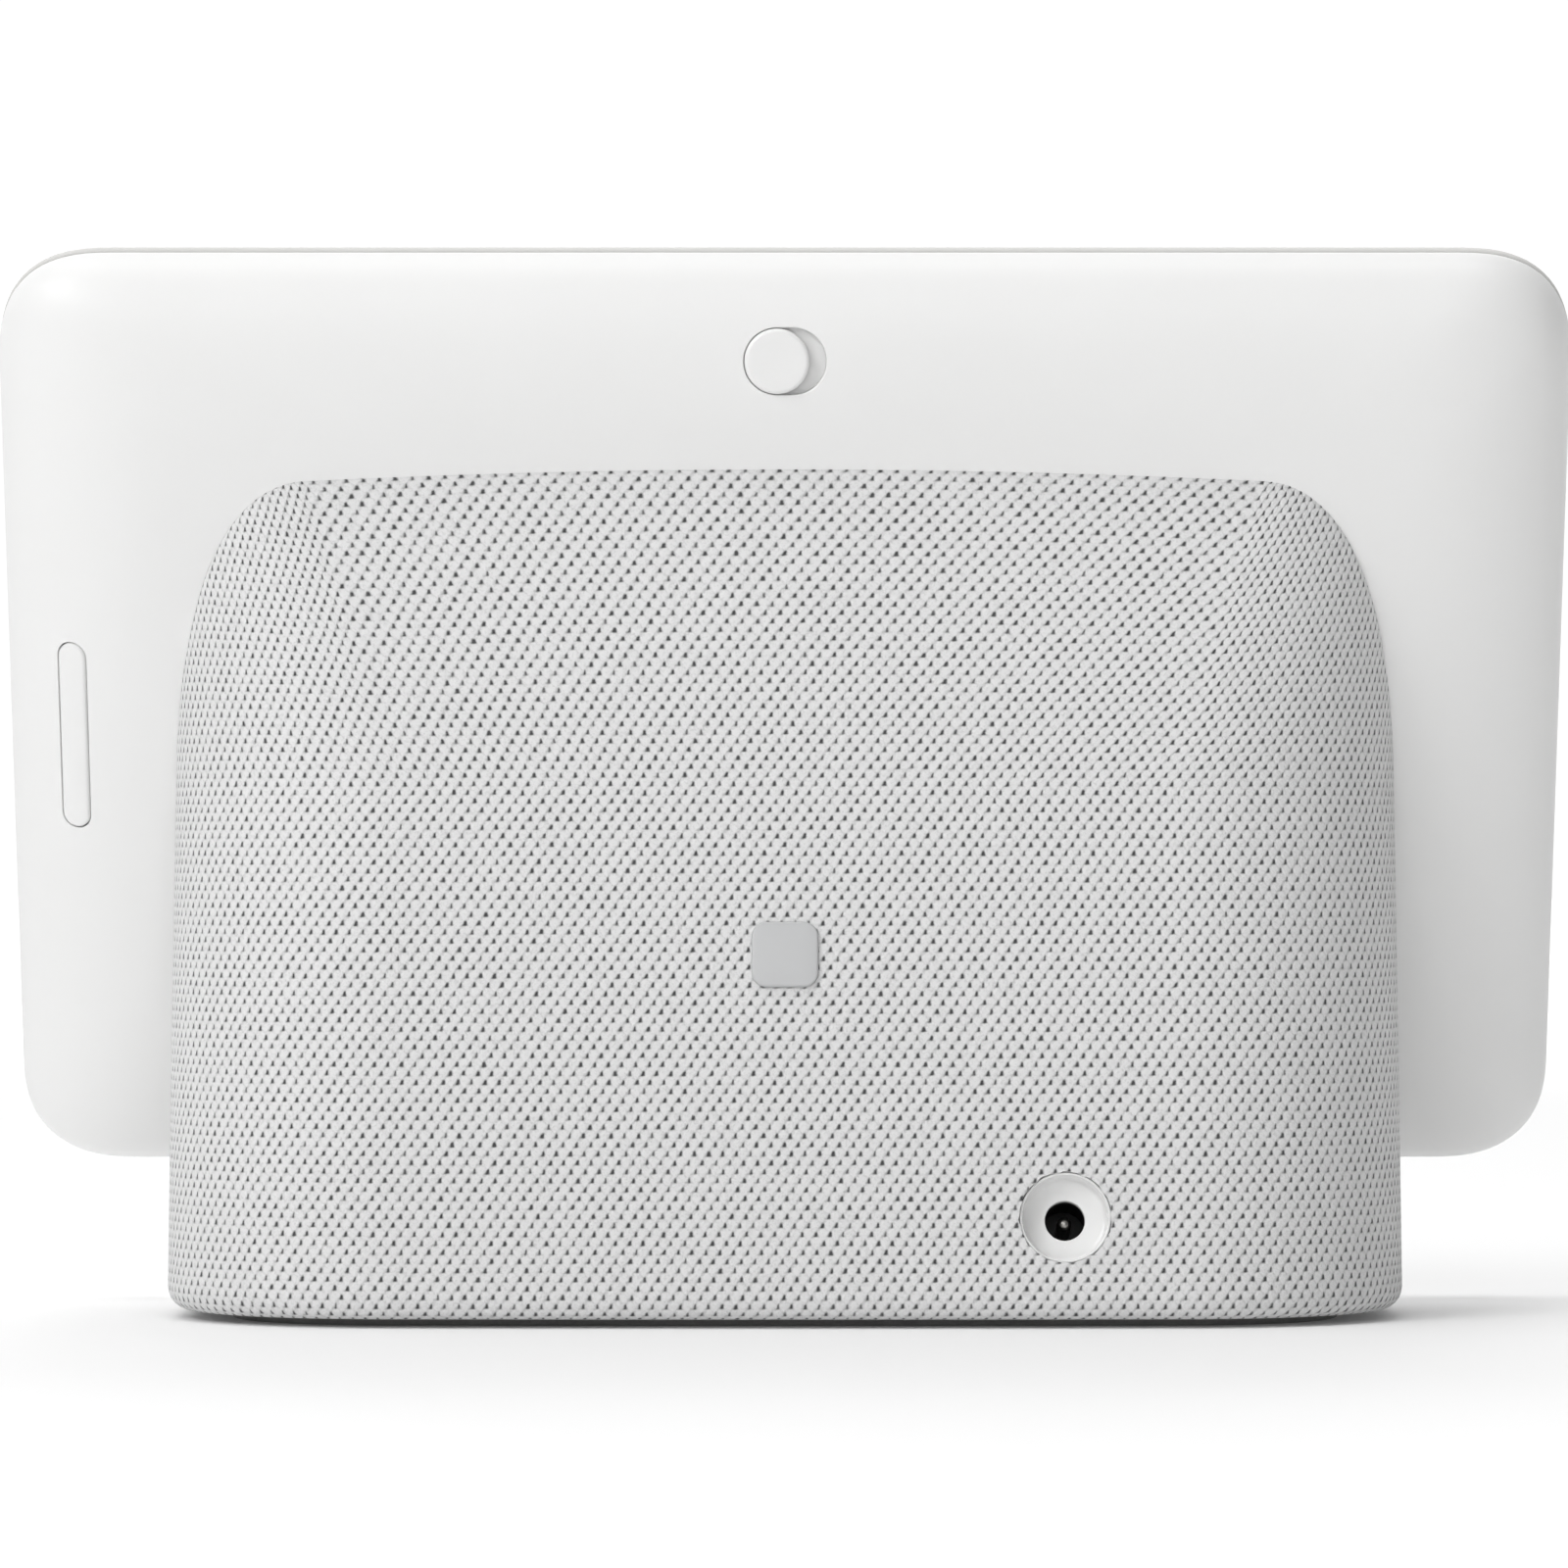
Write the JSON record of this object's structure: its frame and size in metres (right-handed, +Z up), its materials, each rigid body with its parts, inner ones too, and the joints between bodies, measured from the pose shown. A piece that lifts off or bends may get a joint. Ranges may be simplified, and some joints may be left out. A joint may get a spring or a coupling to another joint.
{
  "type": "smart display",
  "caption": "Tabletop smart display with a tilted touch screen on a fabric-covered speaker base, a volume rocker, a sliding mute switch and a rear power inlet.",
  "frame": {"origin": "bottom centre of the whole object, on the table", "axes": "+X across the display, to the left seen from behind; +Y towards the back, so the glass faces -Y; +Z up"},
  "size_m": [0.1774, 0.0694, 0.1204],
  "materials": {
    "front_glass": "polished, dark when off",
    "black_foam": "matte",
    "frame_plastic": "satin",
    "lcd": "gloss",
    "backlight": "satin",
    "flex": "satin",
    "spreader": "brushed",
    "thermal_pad": "matte",
    "circuit_board": "satin solder mask",
    "black_moulding": "matte",
    "stamped_steel": "satin",
    "plated_steel": "bright",
    "copper": "satin",
    "shell_plastic": "fine satin",
    "cup_plastic": "semi-gloss",
    "plunger_plastic": "satin",
    "tray_plastic": "matte",
    "indicator": "satin",
    "housing_plastic": "matte",
    "knit_fabric": "fine knit",
    "foot_rubber": "matte",
    "badge_plastic": "satin",
    "cable_jacket": "satin",
    "speaker_wire": "satin",
    "ferrite": "sintered",
    "spider_cloth": "phenolic cloth",
    "cone_paper": "pressed fibre",
    "surround_rubber": "matte"
  },
  "bodies": {
    "chassis": {"cover_glass": "front_glass", "glass_adhesive": "black_foam", "front_frame": "frame_plastic", "lcd_panel": "lcd", "backlight_unit": "backlight", "display_flex": "flex", "heat_spreader": "spreader", "thermal_pad": "thermal_pad", "main_board": "circuit_board", "board_chips": "black_moulding", "processor_shield": "stamped_steel", "radio_shield": "stamped_steel", "board_screws": "plated_steel", "sensor_board": "circuit_board", "light_sensor": "black_moulding", "microphones": "black_moulding", "mic_gaskets": "black_foam", "radar_module": "circuit_board", "wifi_antennas": "copper", "rear_shell": "shell_plastic", "shell_screws": "plated_steel", "neck_bracket": "stamped_steel", "bracket_screws": "plated_steel", "volume_board": "circuit_board", "volume_switches": "black_moulding", "mute_tray": "tray_plastic", "mute_indicator": "indicator", "mute_switch_body": "black_moulding", "base_housing": "housing_plastic", "fabric_sleeve": "knit_fabric", "base_plate": "stamped_steel", "base_screws": "plated_steel", "foot_pad": "foot_rubber", "badge": "badge_plastic", "inlet_cup": "cup_plastic", "inlet_body": "black_moulding", "inlet_pin": "plated_steel", "inlet_board": "circuit_board", "power_cable": "cable_jacket", "speaker_cable": "speaker_wire", "speaker_basket": "stamped_steel", "speaker_top_plate": "stamped_steel", "speaker_magnet": "ferrite", "speaker_yoke": "stamped_steel", "speaker_spider": "spider_cloth", "speaker_surround": "surround_rubber", "speaker_gasket": "black_foam", "speaker_terminals": "copper", "speaker_screws": "plated_steel", "speaker_chamber": "housing_plastic"},
    "rocker": {"volume_rocker": "shell_plastic"},
    "plunger_up": {"plunger_up": "plunger_plastic"},
    "plunger_down": {"plunger_down": "plunger_plastic"},
    "mute_slider": {"mute_knob": "shell_plastic", "mute_lever": "black_moulding"},
    "cone_unit": {"voice_coil": "copper", "speaker_cone": "cone_paper", "dust_cap": "cone_paper"}
  },
  "joints": [
    {"name": "volume_rock", "type": "hinge", "parent": "chassis", "child": "rocker", "pos_m": [0.07984, -0.00689, 0.06658], "axis": [0.9275, -0.3456, 0.1424], "range_deg": [-1.8, 1.8], "stiffness_Nm_per_rad": 0.6},
    {"name": "press_up", "type": "slide", "parent": "chassis", "child": "plunger_up", "axis": [-0.3738, -0.8575, 0.3534], "range_m": [0, 0.00025], "stiffness_N_per_m": 6000},
    {"name": "press_down", "type": "slide", "parent": "chassis", "child": "plunger_down", "axis": [-0.3738, -0.8575, 0.3534], "range_m": [0, 0.00025], "stiffness_N_per_m": 6000},
    {"name": "mute_slide", "type": "slide", "parent": "chassis", "child": "mute_slider", "axis": [-1, 0, 0], "range_m": [0, 0.0018]},
    {"name": "cone_travel", "type": "slide", "parent": "chassis", "child": "cone_unit", "axis": [0, 0.9698, 0.2438], "range_m": [-0.0015, 0.0015], "stiffness_N_per_m": 1800, "deforming": ["speaker_surround", "speaker_spider"]}
  ]
}
